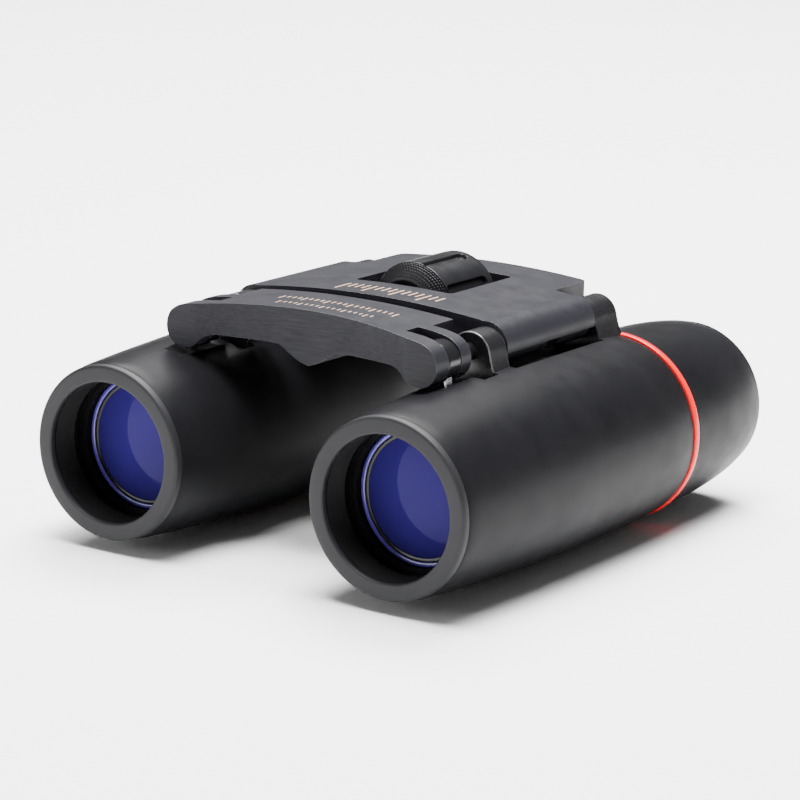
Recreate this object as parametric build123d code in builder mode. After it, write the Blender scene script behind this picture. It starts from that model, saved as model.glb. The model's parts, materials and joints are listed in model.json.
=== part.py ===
from build123d import *
import os
from math import atan2, cos, degrees, hypot, radians, sin

# Folding compact binoculars, millimetres.  The objectives point towards -Y, the eyepieces
# towards +Y, the hinges are on top (+Z).  The user's left barrel is on the +X side.
# The origin is under the middle of the instrument, on the surface the barrels rest on.
# Positions along the barrels are given as the distance behind the front rim.

# overall
length = 95.0
front_y = -length / 2
barrel_x = 26.9
barrel_z = 16.2
hinge_x = 22.8
hinge_z = 35.0
focus_z = 35.8

# barrel
barrel_r = 16.2
barrel_bore_r = 12.6
flange_end = 3.0
barrel_start = 3.06
barrel_end = 66.7
straight_start = 36.0
straight_end = 56.0
chamber_end = 61.5
neck_r = 12.6
neck_bore_r = 11.0
neck_end = 80.0
front_lug = (28.5, 33.4)
rear_lug = (60.4, 67.4)
lug_r = 3.65
lug_eye_out = 0.15
lug_eye_drop = 0.45
lug_overhang_r = 15.98
channel_r = 6.3
front_channel_r = 4.4
front_channel_end = 24.5
channel_floor = 13.9
channel_start = 12.7

# objective
mouth_r = 11.5
spigot_end = 6.2
cell_r = 12.5
cell_start = 7.8
cell_end = 24.5
lens_seat_r = 11.75
lens_r = 11.7
cell_clear_r = 10.9
arm_span = (18.0, 21.3)
arm_r = 3.35
drive_pin_r = 0.75
drive_pin_offset = 1.3
focus_forward = 1.5
focus_rearward = 2.5

# hinge rods and bridges
rod_r = 1.5
rod_front = 17.8
rod_rear = 67.3
hinge_screw_span = (67.6, 68.6)
hinge_screw_r = 2.6
collar_r = 3.3
collar_gap = (46.9, 50.7)
roll_r = 4.0
skirt_z = 34.3
bridge_start = 33.6
roll_end = 60.2
bridge_end = 70.6
tail_corner_r = 1.2
bridge_top = 40.35
bridge_half = 18.9
wall = 1.6
window_half = 9.5
window = (43.3, 62.0)
shaft_r = 1.5
shaft_bore_r = 1.55
rear_boss_end = 64.8
plate_s = 51.3
pocket_size = (34.4, 32.4)
plate_size = (34.2, 32.2)
plate_thickness = 1.2
plate_screw_spacing = (29.0, 27.4)
plate_boss_r = 2.2
plate_screw_r = 0.8
plate_screw_head_r = 1.5
boss_r = 3.4
front_bridge_span = (14.4, 30.0)
hollow_half = 20.2
hollow_depth = 2.7
ear_slot = (17.9, 21.4)
ear_end = 24.1
nut_span = (22.0, 29.8)
screw_r = 1.9

# focus wheel
wheel_r = 7.9
wheel_span = (46.5, 60.5)
wheel_slots = 8
wheel_slot_width = 1.95
wheel_slot_length = 12.3

# prisms
cage_r = 12.5
cage_bore_r = 6.4
cage_span = (33.0, 60.5)
cage_opening = (14.2, 23.0)
prism_width = 13.0
dioptre_pin_s = 72.0

# eyepiece
tube_r = 10.9
tube_start = 62.5
tube_end = 84.2
trim_span = (66.95, 68.3)
eyecup_start = 68.4
dioptre_span = (68.45, 75.4)
dioptre_ribs = 36

radial_length = hypot(barrel_x - hinge_x, hinge_z - barrel_z)
lean = degrees(atan2(barrel_x - hinge_x, hinge_z - barrel_z))
outboard = Vector(cos(radians(lean)), 0, sin(radians(lean)))
to_hinge = Vector(-sin(radians(lean)), 0, cos(radians(lean)))


def across(s):
    """Plane across the instrument, s behind the rim, facing forward; its y is up."""
    return Plane(origin=(0, front_y + s, 0), x_dir=(1, 0, 0), z_dir=(0, -1, 0))


def across_barrel(s):
    """Plane across the left barrel, s behind the rim; its y points at the hinge rod."""
    return Plane(origin=(barrel_x, front_y + s, barrel_z), x_dir=outboard, z_dir=(0, -1, 0))


def barrel_section():
    """Plane through the left barrel's axis: x is the radius, y the distance behind the rim."""
    return Plane(origin=(barrel_x, front_y, barrel_z))


def barrel_axis():
    return Axis((barrel_x, front_y, barrel_z), (0, 1, 0))


def focus_section():
    return Plane(origin=(0, front_y, focus_z))


def focus_axis():
    return Axis((0, front_y, focus_z), (0, 1, 0))


def hinge_at(s, side=1):
    """Location on a hinge axis, its z pointing forward."""
    return Location(Plane(origin=(side * hinge_x, front_y + s, hinge_z), z_dir=(0, -1, 0)))


def on_focus_axis(s):
    return Location(Plane(origin=(0, front_y + s, focus_z), z_dir=(0, -1, 0)))


def rod_like(radius, start, end, mode=Mode.ADD):
    """Cylinder lying along the current location's axis, from end forward to start."""
    Cylinder(radius, end - start, align=(Align.CENTER, Align.CENTER, Align.MIN), mode=mode)


def save(block, name):
    block.part.label = name
    export_step(block.part, "parts/" + name + ".step")


def save_mirrored(block, name):
    with BuildPart() as other_side:
        add(block.part)
        mirror(about=Plane.YZ, mode=Mode.REPLACE)
    save(other_side, name)


def save_pair(block, name):
    save(block, name + "_left")
    save_mirrored(block, name + "_right")


def turned(points, name):
    """Round piece on the barrel axis, turned from a closed outline of radius and distance."""
    with BuildPart() as piece:
        with BuildSketch(barrel_section()):
            with BuildLine():
                Polyline(*points, close=True)
            make_face()
        revolve(axis=barrel_axis())
    save_pair(piece, name)


# ---- barrels ----
def lug_outline(base_out):
    """Hinge lug seen along the barrel: a round eye on a foot that spreads outboard."""
    foot = 13.3
    eye = (lug_eye_out, radial_length - lug_eye_drop)
    with BuildSketch(mode=Mode.PRIVATE) as outline:
        with Locations(eye):
            Circle(lug_r)
        with BuildLine():
            Polyline(
                (eye[0] - lug_r, eye[1]),
                (eye[0] - lug_r, foot),
                (base_out, foot),
                (base_out, foot + 0.9),
                (eye[0] + lug_r + 0.1, foot + 2.4),
                (eye[0] + lug_r, eye[1]),
                close=True,
            )
        make_face()
    return outline.sketch


def channel_outline(radius):
    """Relief seen along the barrel: a circle round the hinge with a flat floor."""
    with BuildSketch(mode=Mode.PRIVATE) as outline:
        with Locations((0, radial_length)):
            Circle(radius)
        with Locations((0, channel_floor + radius)):
            Rectangle(2 * radius, 2 * radius, mode=Mode.INTERSECT)
    return outline.sketch


def barrel(with_dioptre_slot):
    """Tapered barrel shell with its neck, two hinge lugs and the drive pin's slot."""
    with BuildPart() as shell:
        with BuildSketch(barrel_section()):
            with BuildLine():
                Spline(
                    (14.6, barrel_start),
                    (14.9, 5.7),
                    (15.8, 22.3),
                    (barrel_r, straight_start),
                    tangents=((0.12, 1), (0, 1)),
                )
                Line((barrel_r, straight_start), (barrel_r, straight_end))
                Spline(
                    (barrel_r, straight_end),
                    (15.7, barrel_end),
                    tangents=((0, 1), (-0.09, 1)),
                )
                Polyline(
                    (15.7, barrel_end),
                    (neck_r, barrel_end),
                    (neck_r, neck_end),
                    (neck_bore_r, neck_end),
                    (neck_bore_r, chamber_end),
                    (barrel_bore_r, chamber_end),
                    (barrel_bore_r, barrel_start),
                    (14.6, barrel_start),
                )
            make_face()
        revolve(axis=barrel_axis())
        # channels that keep the barrel clear of the bridges as it swings
        with BuildSketch(across_barrel(rear_lug[0])):
            add(channel_outline(channel_r))
        extrude(amount=rear_lug[0] - front_channel_end, mode=Mode.SUBTRACT)
        with BuildSketch(across_barrel(front_channel_end + 0.1)):
            add(channel_outline(front_channel_r))
        extrude(amount=front_channel_end + 0.1 - channel_start, mode=Mode.SUBTRACT)
        with BuildSketch(across_barrel(front_lug[1])):
            add(lug_outline(4.4))
        extrude(amount=front_lug[1] - front_lug[0])
        with BuildSketch(across_barrel(rear_lug[1])):
            add(lug_outline(5.0))
        extrude(amount=rear_lug[1] - rear_lug[0])
        # the rear lug overhangs the trim ring without touching it
        with BuildSketch(barrel_section()):
            with Locations((neck_r, barrel_end)):
                Rectangle(lug_overhang_r - neck_r, 2, align=(Align.MIN, Align.MIN))
        revolve(axis=barrel_axis(), mode=Mode.SUBTRACT)
        with Locations(hinge_at(rear_lug[1] + 1)):
            rod_like(rod_r + 0.05, 0, 60, Mode.SUBTRACT)
        # slot for the drive pin, as long as the focus travel needs
        slot_start = sum(arm_span) / 2 - focus_forward - drive_pin_r - 0.35
        slot_end = sum(arm_span) / 2 + focus_rearward + drive_pin_r + 0.35
        with BuildSketch(across_barrel(slot_end)):
            with Locations((drive_pin_offset, 14.5)):
                Rectangle(2 * drive_pin_r + 0.7, 6)
        extrude(amount=slot_end - slot_start, mode=Mode.SUBTRACT)
        if with_dioptre_slot:
            with BuildSketch(across(73.9)):
                with Locations((barrel_x, barrel_z + 12)):
                    Rectangle(2.0, 4)
            extrude(amount=3.8, mode=Mode.SUBTRACT)
    return shell


def rim_ring():
    """Front ring, screwed into the barrel; its bore is the objective mouth."""
    with BuildPart() as ring:
        with BuildSketch(barrel_section()) as profile:
            with BuildLine():
                Polyline(
                    (mouth_r, 0),
                    (14.2, 0),
                    (14.56, flange_end),
                    (barrel_bore_r - 0.04, flange_end),
                    (barrel_bore_r - 0.04, spigot_end),
                    (mouth_r, spigot_end),
                    close=True,
                )
            make_face()
            front_corners = profile.vertices().group_by(Axis.Y)[0].sort_by(Axis.X)
            fillet(front_corners[0], 0.4)
            fillet(front_corners[-1], 0.8)
        revolve(axis=barrel_axis())
    save_pair(ring, "rim_ring")


# ---- objective group: slides in the barrel, driven by the front bridge ----
def objective_cell():
    """Lens cell with a blind hole for the drive pin."""
    with BuildPart() as cell:
        with BuildSketch(barrel_section()):
            with BuildLine():
                Polyline(
                    (lens_seat_r, cell_start),
                    (cell_r, cell_start),
                    (cell_r, cell_end),
                    (cell_clear_r, cell_end),
                    (cell_clear_r, 13.9),
                    (lens_seat_r, 13.9),
                    close=True,
                )
            make_face()
        revolve(axis=barrel_axis())
        with Locations(drive_pin_location(11.25)):
            rod_like(drive_pin_r + 0.02, 0, 3, Mode.SUBTRACT)
    save_pair(cell, "objective_cell")


def drive_pin_location(radius):
    """Location on the drive pin's line at a distance from the barrel axis, z to the hinge."""
    foot = Vector(barrel_x, front_y + sum(arm_span) / 2, barrel_z)
    foot = foot + outboard * drive_pin_offset + to_hinge * radius
    return Location(Plane(origin=foot, x_dir=outboard, z_dir=to_hinge))


def drive_arm():
    """Round arm that turns on the hinge rod between the front bridge's ears."""
    with BuildPart() as arm:
        with Locations(hinge_at(arm_span[1])):
            rod_like(arm_r, arm_span[0], arm_span[1])
        fillet(arm.edges().filter_by(GeomType.CIRCLE), 0.3)
        with Locations(hinge_at(arm_span[1])):
            rod_like(rod_r + 0.06, arm_span[0], arm_span[1], Mode.SUBTRACT)
        with Locations(drive_pin_location(13)):
            rod_like(drive_pin_r + 0.02, 0, 4.32, Mode.SUBTRACT)
    save_pair(arm, "drive_arm")


def drive_pin():
    """Steel pin from the arm through the barrel's slot into the lens cell."""
    with BuildPart() as pin:
        with Locations(drive_pin_location(11.3)):
            rod_like(drive_pin_r, 0, 6.0)
        chamfer(pin.edges().filter_by(GeomType.CIRCLE), 0.12)
    save_pair(pin, "drive_pin")


def bulge_at_half(radius, bulge):
    """Height, at half the lens radius, of a sphere that rises by bulge over the whole radius."""
    sphere_r = (radius**2 + bulge**2) / (2 * abs(bulge))
    drop = sphere_r - (sphere_r**2 - (radius / 2) ** 2) ** 0.5
    return bulge - drop if bulge > 0 else bulge + drop


def lens(name, radius, front_edge, rear_edge, front_bulge, rear_bulge):
    """Lens turned from two arcs; a bulge is how far a face stands out at the middle."""
    with BuildPart() as glass:
        with BuildSketch(barrel_section()):
            with BuildLine():
                Line((0, front_edge - front_bulge), (0, rear_edge + rear_bulge))
                ThreePointArc(
                    (0, rear_edge + rear_bulge),
                    (radius / 2, rear_edge + bulge_at_half(radius, rear_bulge)),
                    (radius, rear_edge),
                )
                Line((radius, rear_edge), (radius, front_edge))
                ThreePointArc(
                    (radius, front_edge),
                    (radius / 2, front_edge - bulge_at_half(radius, front_bulge)),
                    (0, front_edge - front_bulge),
                )
            make_face()
        revolve(axis=barrel_axis())
    save_pair(glass, name)


def objective_optics():
    """Cemented pair, front element and rear element, behind a threaded ring."""
    lens("objective_front_lens", lens_r, 10.0, 11.6, 1.1, 0.9)
    lens("objective_rear_lens", lens_r, 11.64, 13.85, -0.9, -0.3)
    turned(
        [(10.95, 8.2), (lens_seat_r - 0.03, 8.2), (lens_seat_r - 0.03, 9.7), (11.1, 9.7)],
        "objective_ring",
    )


# ---- prisms ----
def prism_cage():
    """Round cage, cut through from top to bottom for the prisms."""
    with BuildPart() as cage:
        with BuildSketch(barrel_section()):
            with BuildLine():
                Polyline(
                    (cage_bore_r, cage_span[0]),
                    (cage_r, cage_span[0]),
                    (cage_r, cage_span[1]),
                    (cage_bore_r, cage_span[1]),
                    close=True,
                )
            make_face()
        revolve(axis=barrel_axis())
        with BuildSketch(Plane.XY.offset(barrel_z)):
            with Locations((barrel_x, front_y + 47.0)):
                Rectangle(*cage_opening)
        extrude(amount=14, both=True, mode=Mode.SUBTRACT)
    save_pair(cage, "prism_cage")


def prism_block(outline):
    """Glass block from a side outline of distance behind the rim and height over the axis."""
    side = Plane(origin=(barrel_x, front_y, barrel_z), x_dir=(0, 1, 0), z_dir=(1, 0, 0))
    with BuildPart() as block:
        with BuildSketch(side):
            with BuildLine():
                Polyline(*outline, close=True)
            make_face()
        extrude(amount=prism_width / 2, both=True)
    return block


def prisms():
    """Half prism in front, roof prism behind it, with an air gap between them."""
    half = prism_block([(36.0, -8.5), (36.0, 8.5), (40.5, 9.2), (52.0, 5.5), (38.0, -8.5)])
    save_pair(half, "half_prism")
    roof = prism_block([(38.5, -8.5), (52.4, 5.4), (57.8, 0.8), (57.8, -8.5)])
    with BuildPart() as roofed:
        add(roof.part)
        keel = roofed.edges().filter_by(Axis.Y).group_by(Axis.Z)[0]
        chamfer(keel, 5.4)
    save_pair(roofed, "roof_prism")


def prism_spring():
    """Bent steel strap that holds the prisms down."""
    side = Plane(origin=(barrel_x, front_y, barrel_z), x_dir=(0, 1, 0), z_dir=(1, 0, 0))
    with BuildPart() as spring:
        with BuildSketch(side):
            with BuildLine():
                Polyline(
                    (36.4, 9.6),
                    (45.0, 10.1),
                    (53.0, 8.2),
                    (57.4, 8.6),
                    (57.4, 8.95),
                    (53.0, 8.6),
                    (45.0, 10.5),
                    (36.4, 10.0),
                    close=True,
                )
            make_face()
        extrude(amount=3.5, both=True)
    save_pair(spring, "prism_spring")


# ---- eyepieces ----
def eyepiece_tube(with_pin_hole):
    """Sliding tube that carries the eyepiece's stop and lenses."""
    with BuildPart() as tube:
        with BuildSketch(barrel_section()):
            with BuildLine():
                Polyline(
                    (9.6, tube_start),
                    (tube_r, tube_start),
                    (tube_r, tube_end),
                    (8.8, tube_end),
                    (8.8, 76.5),
                    (8.0, 76.5),
                    (8.0, 68.0),
                    (9.6, 68.0),
                    close=True,
                )
            make_face()
        revolve(axis=barrel_axis())
        if with_pin_hole:
            with Locations((barrel_x, front_y + dioptre_pin_s, barrel_z + 11)):
                Cylinder(0.82, 4, mode=Mode.SUBTRACT)
    return tube


def dioptre_pin():
    """Pin that ties the right tube to the dioptre ring."""
    with BuildPart() as pin:
        with Locations((barrel_x, front_y + dioptre_pin_s, barrel_z + 9.1)):
            Cylinder(0.8, 4.6, align=(Align.CENTER, Align.CENTER, Align.MIN))
    save_mirrored(pin, "dioptre_pin_right")


def dioptre_ring():
    """Ribbed ring that turns on the right barrel's neck, grooved inside for the pin."""
    with BuildPart() as ring:
        with BuildSketch(barrel_section()):
            with BuildLine():
                Polyline(
                    (neck_r + 0.08, dioptre_span[0]),
                    (15.55, dioptre_span[0]),
                    (15.4, dioptre_span[1]),
                    (neck_r + 0.08, dioptre_span[1]),
                    (neck_r + 0.08, 73.9),
                    (14.1, 73.9),
                    (14.1, 70.1),
                    (neck_r + 0.08, 70.1),
                    close=True,
                )
            make_face()
        revolve(axis=barrel_axis())
        outer_edges = ring.edges().filter_by(GeomType.CIRCLE).sort_by(SortBy.RADIUS)[-2:]
        fillet(outer_edges, 0.35)
        with BuildSketch(across(dioptre_span[1] - 0.9)):
            with Locations((barrel_x, barrel_z)):
                with PolarLocations(15.75, dioptre_ribs):
                    Circle(0.5)
        extrude(amount=5.2, mode=Mode.SUBTRACT)
    save_mirrored(ring, "dioptre_ring_right")


def eyecup(start):
    """Rubber cup pushed over the neck, tapering to a rounded lip."""
    with BuildPart() as cup:
        with BuildSketch(barrel_section()) as profile:
            with BuildLine():
                outer = Spline(
                    (15.62, eyecup_start),
                    (15.2, 81.3),
                    (14.4, 88.6),
                    (13.1, 95.0),
                    tangents=((-0.02, 1), (-0.3, 1)),
                )
                Polyline(
                    (13.1, 95.0),
                    (10.3, 95.0),
                    (8.9, 85.6),
                    (11.3, 85.6),
                    (11.3, neck_end + 0.2),
                    (neck_r + 0.03, neck_end + 0.2),
                    (neck_r + 0.03, eyecup_start),
                    outer @ 0,
                )
            make_face()
            fillet(profile.vertices().group_by(Axis.Y)[-1], 1.2)
        revolve(axis=barrel_axis())
        if start > eyecup_start:
            with BuildSketch(across(start)):
                with Locations((barrel_x, barrel_z)):
                    Circle(20)
            extrude(amount=20, mode=Mode.SUBTRACT)
    return cup


def eyepieces():
    """Tubes, lenses, rings and cups; only the right side has the dioptre adjustment."""
    save(eyepiece_tube(False), "eyepiece_tube_left")
    save_mirrored(eyepiece_tube(True), "eyepiece_tube_right")
    turned([(6.4, 62.6), (9.57, 62.6), (9.57, 63.6), (6.4, 63.2)], "field_stop")
    lens("field_lens", 9.55, 64.6, 66.2, 0.9, 1.2)
    lens("eye_lens_inner", 8.7, 78.0, 79.3, 1.2, 0.6)
    lens("eye_lens_outer", 8.7, 79.34, 81.4, -0.6, 0.7)
    turned([(7.6, 82.6), (8.1, 81.75), (8.77, 81.75), (8.77, 83.9), (7.6, 83.9)], "eyepiece_ring")
    turned(
        [(neck_r + 0.03, trim_span[0]), (15.6, trim_span[0]), (15.75, 67.2), (15.72, 68.1),
         (15.6, trim_span[1]), (neck_r + 0.03, trim_span[1])],
        "trim_ring",
    )
    dioptre_pin()
    dioptre_ring()
    save(eyecup(eyecup_start), "eyecup_left")
    save_mirrored(eyecup(dioptre_span[1] + 0.35), "eyecup_right")


# ---- rear bridge: the frame both barrels hang on ----
def bridge_outline():
    """Arched top with rolled sides about the hinge rods, cut off flat below."""
    shoulder = (22.3, hinge_z + 3.968)
    skirt_x = hinge_x + (roll_r**2 - (hinge_z - skirt_z) ** 2) ** 0.5
    side_mid = (hinge_x + roll_r * cos(radians(38)), hinge_z + roll_r * sin(radians(38)))
    with BuildSketch(mode=Mode.PRIVATE) as outline:
        with BuildLine():
            ThreePointArc((-shoulder[0], shoulder[1]), (0, bridge_top), shoulder)
            ThreePointArc(shoulder, side_mid, (skirt_x, skirt_z))
            Line((skirt_x, skirt_z), (-skirt_x, skirt_z))
            ThreePointArc(
                (-skirt_x, skirt_z),
                (-side_mid[0], side_mid[1]),
                (-shoulder[0], shoulder[1]),
            )
        make_face()
    return outline.sketch


def rear_bridge():
    """Moulded frame: rolled sides, knob window, bearings for the shaft, pocketed below."""
    with BuildPart() as frame:
        with BuildSketch(across(roll_end)):
            add(bridge_outline())
        extrude(amount=roll_end - bridge_start)
        # narrower tail behind the rolls, lifted clear of the rear lugs
        with BuildSketch(across(bridge_end)):
            add(bridge_outline())
            with Locations((0, hinge_z)):
                Rectangle(2 * bridge_half, 20, mode=Mode.INTERSECT)
            for side in (-1, 1):
                with Locations((side * (bridge_half + 16.5) / 2, 30)):
                    Rectangle(bridge_half - 16.5, 13.4, mode=Mode.SUBTRACT)
        extrude(amount=bridge_end - roll_end)
        tail_corners = frame.edges().filter_by(Axis.Z).group_by(Axis.Y)[-1]
        fillet(tail_corners.filter_by(lambda e: abs(e.center().X) > 18), tail_corner_r)
        # collars round the rods, open in the middle
        for side in (-1, 1):
            with Locations(hinge_at(collar_gap[0], side)):
                rod_like(collar_r, bridge_start, collar_gap[0])
            with Locations(hinge_at(roll_end, side)):
                rod_like(collar_r, collar_gap[1], roll_end)
        # pocket from below, leaving a frame round the knob window
        with BuildSketch(Plane.XY.offset(skirt_z - 3)):
            with Locations((0, front_y + plate_s)):
                Rectangle(*pocket_size)
            with Locations((0, front_y + sum(window) / 2)):
                Rectangle(2 * window_half + 3.0, window[1] - window[0] + 3.0, mode=Mode.SUBTRACT)
        extrude(amount=bridge_top - wall - skirt_z + 2.2, mode=Mode.SUBTRACT)
        with BuildSketch(Plane.XY.offset(skirt_z - 3)):
            with Locations((0, front_y + sum(window) / 2)):
                RectangleRounded(2 * window_half, window[1] - window[0], 1.0)
        extrude(amount=12, mode=Mode.SUBTRACT)
        # bearing bosses for the focus shaft
        with Locations(on_focus_axis(window[0])):
            rod_like(boss_r, bridge_start, window[0])
        with Locations(on_focus_axis(rear_boss_end)):
            rod_like(boss_r, window[1], rear_boss_end)
        # screw bosses for the cover plate
        with BuildSketch(Plane.XY.offset(skirt_z + 1.25)):
            with Locations((0, front_y + plate_s)):
                with GridLocations(*plate_screw_spacing, 2, 2):
                    Circle(plate_boss_r)
        extrude(amount=3.6)
        with BuildSketch(Plane.XY.offset(skirt_z)):
            with Locations((0, front_y + plate_s)):
                with GridLocations(*plate_screw_spacing, 2, 2):
                    Circle(plate_screw_r + 0.02)
        extrude(amount=4.0, mode=Mode.SUBTRACT)
        for side in (-1, 1):
            with Locations(hinge_at(roll_end + 1, side)):
                rod_like(rod_r + 0.02, bridge_start - 2, roll_end + 1, Mode.SUBTRACT)
        with Locations(on_focus_axis(64.0)):
            rod_like(shaft_bore_r, bridge_start - 2, 64.0, Mode.SUBTRACT)
        top_front = frame.edges().group_by(Axis.Y)[0].group_by(Axis.Z)[-1]
        fillet(top_front, 0.5)
    save(frame, "rear_bridge")


def cover_plate():
    """Plate let into the underside of the rear bridge, open for the wheel and bearings."""
    with BuildPart() as plate:
        with BuildSketch(Plane.XY.offset(skirt_z)):
            with Locations((0, front_y + plate_s)):
                Rectangle(*plate_size)
            with Locations((0, front_y + sum(window) / 2)):
                Rectangle(2 * window_half + 3.2, window[1] - window[0] + 3.2, mode=Mode.SUBTRACT)
            with Locations((0, front_y + 50.0)):
                Rectangle(2 * boss_r + 0.4, 29.9, mode=Mode.SUBTRACT)
            with Locations((0, front_y + 35.4)):
                Rectangle(2 * boss_r + 0.4, 2, mode=Mode.SUBTRACT)
        extrude(amount=plate_thickness)
        with BuildSketch(Plane.XY.offset(skirt_z)):
            with Locations((0, front_y + plate_s)):
                with GridLocations(*plate_screw_spacing, 2, 2):
                    Circle(1.0)
        extrude(amount=plate_thickness, mode=Mode.SUBTRACT)
    save(plate, "cover_plate")


def plate_screws():
    """Four cross-head screws under the cover plate."""
    with BuildPart() as screws:
        with BuildSketch(Plane.XY.offset(skirt_z - 0.75)):
            with Locations((0, front_y + plate_s)):
                with GridLocations(*plate_screw_spacing, 2, 2):
                    Circle(plate_screw_head_r)
        extrude(amount=0.7)
        with BuildSketch(Plane.XY.offset(skirt_z - 0.05)):
            with Locations((0, front_y + plate_s)):
                with GridLocations(*plate_screw_spacing, 2, 2):
                    Circle(plate_screw_r)
        extrude(amount=3.8)
        with BuildSketch(Plane.XY.offset(skirt_z - 0.75)):
            with Locations((0, front_y + plate_s)):
                with GridLocations(*plate_screw_spacing, 2, 2):
                    Rectangle(1.7, 0.35)
                    Rectangle(0.35, 1.7)
        extrude(amount=0.4, mode=Mode.SUBTRACT)
    save(screws, "plate_screws")


def hinge_rods():
    """Steel rods the barrels turn on, each closed at the rear by a slotted screw."""
    with BuildPart() as rod:
        with Locations(hinge_at(rod_rear)):
            rod_like(rod_r, rod_front, rod_rear)
        chamfer(rod.edges().filter_by(GeomType.CIRCLE).group_by(Axis.Y)[0], 0.3)
        with Locations(hinge_at(rod_rear)):
            rod_like(0.82, rod_rear - 4, rod_rear, Mode.SUBTRACT)
    save_pair(rod, "hinge_rod")
    with BuildPart() as screw:
        with Locations(hinge_at(hinge_screw_span[1])):
            rod_like(hinge_screw_r, *hinge_screw_span)
        fillet(screw.edges().filter_by(GeomType.CIRCLE).group_by(Axis.Y)[-1], 0.35)
        with Locations(hinge_at(hinge_screw_span[0])):
            rod_like(0.8, rod_rear - 3.6, hinge_screw_span[0])
        with BuildSketch(across(hinge_screw_span[1])):
            with Locations((hinge_x, hinge_z)):
                Rectangle(3.4, 0.6)
        extrude(amount=0.45, mode=Mode.SUBTRACT)
    save_pair(screw, "hinge_screw")


# ---- front bridge: slides on the rods and carries both objective cells ----
def front_outline():
    """Arched top, round ends about the hinge rods, and a boss in the middle of the underside."""
    half_boss = [(7.4, 34.35), (5.4, 34.1), (3.9, 33.2), (1.9, 32.0), (0, 31.4)]
    shoulder = (21.3, arch_height(21.3))
    end_top = (25.25, 37.5)
    end_side = (hinge_x + arm_r, hinge_z)
    end_low = (25.17, 32.63)
    end_bottom = (hinge_x, hinge_z - arm_r)
    with BuildSketch(mode=Mode.PRIVATE) as outline:
        with BuildLine():
            ThreePointArc((-shoulder[0], shoulder[1]), (0, bridge_top), shoulder)
            for side in (-1, 1):
                Spline(
                    (side * shoulder[0], shoulder[1]),
                    (side * end_top[0], end_top[1]),
                    (side * end_side[0], end_side[1]),
                    tangents=((side, -0.1), (0, -1)),
                )
                ThreePointArc(
                    (side * end_side[0], end_side[1]),
                    (side * end_low[0], end_low[1]),
                    (side * end_bottom[0], end_bottom[1]),
                )
                Spline(
                    (side * end_bottom[0], end_bottom[1]),
                    (side * 20.6, 32.4),
                    (side * 19.2, 33.6),
                    (side * 16.8, 34.4),
                    tangents=((-side, 0), (-side, 0)),
                )
                Line((side * 16.8, 34.4), (side * half_boss[0][0], half_boss[0][1]))
                Spline(
                    *[(side * x, z) for x, z in half_boss],
                    tangents=((-side, 0), (-side, 0)),
                )
        make_face()
    return outline.sketch


def arch_height(x):
    """Height of both bridges' arched top at a distance from the middle."""
    arch_r = (22.3**2 + (bridge_top - 38.968) ** 2) / (2 * (bridge_top - 38.968))
    return bridge_top - arch_r + (arch_r**2 - x**2) ** 0.5


def front_bridge():
    """Sliding bridge: forked ears at each end hold the drive arms, the nut is in the boss."""
    front, rear = front_bridge_span
    with BuildPart() as bridge:
        with BuildSketch(across(rear)):
            add(front_outline())
        extrude(amount=rear - front)
        # the front face is hollowed between the two ears
        with BuildSketch(Plane.XY.offset(28)):
            with BuildLine():
                ThreePointArc(
                    (-hollow_half, front_y + front),
                    (0, front_y + front + hollow_depth),
                    (hollow_half, front_y + front),
                )
                Polyline(
                    (hollow_half, front_y + front),
                    (hollow_half, front_y + front - 1),
                    (-hollow_half, front_y + front - 1),
                    (-hollow_half, front_y + front),
                )
            make_face()
        extrude(amount=15, mode=Mode.SUBTRACT)
        for side in (-1, 1):
            # slot for the drive arm and the step in front of the barrel's lug
            with BuildSketch(Plane.XY.offset(28)):
                with Locations((side * 24, front_y + sum(ear_slot) / 2)):
                    Rectangle(12, ear_slot[1] - ear_slot[0])
                with Locations((side * 24.8, front_y + ear_end + 5)):
                    Rectangle(12, 10)
            extrude(amount=15, mode=Mode.SUBTRACT)
            # lightening pocket below
            with BuildSketch(Plane.XY.offset(30)):
                with Locations((side * 11.4, front_y + 23.7)):
                    Rectangle(8.0, 8.6)
            extrude(amount=8.0, mode=Mode.SUBTRACT)
            with Locations(hinge_at(rear, side)):
                rod_like(rod_r + 0.05, 15.25, rear, Mode.SUBTRACT)
        with Locations(on_focus_axis(rear)):
            rod_like(2.8, nut_span[0], rear, Mode.SUBTRACT)
        with Locations(on_focus_axis(nut_span[0] + 0.1)):
            rod_like(2.2, 18.2, nut_span[0] + 0.1, Mode.SUBTRACT)
    save(bridge, "front_bridge")
    with BuildPart() as nut:
        with Locations(on_focus_axis(nut_span[1])):
            rod_like(2.77, nut_span[0] + 0.03, nut_span[1])
            rod_like(screw_r + 0.05, nut_span[0] + 0.03, nut_span[1], Mode.SUBTRACT)
    save(nut, "focus_nut")


# ---- focus wheel ----
def focus_screw():
    """Threaded front end in the nut, plain shaft through the bearings and the wheel."""
    with BuildPart() as screw:
        with Locations(on_focus_axis(33.0)):
            rod_like(screw_r, 21.0, 33.0)
        with Locations(on_focus_axis(63.7)):
            rod_like(shaft_r, 33.0, 63.7)
        chamfer(screw.edges().filter_by(GeomType.CIRCLE).group_by(Axis.Y)[0], 0.3)
    save(screw, "focus_screw")


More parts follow.
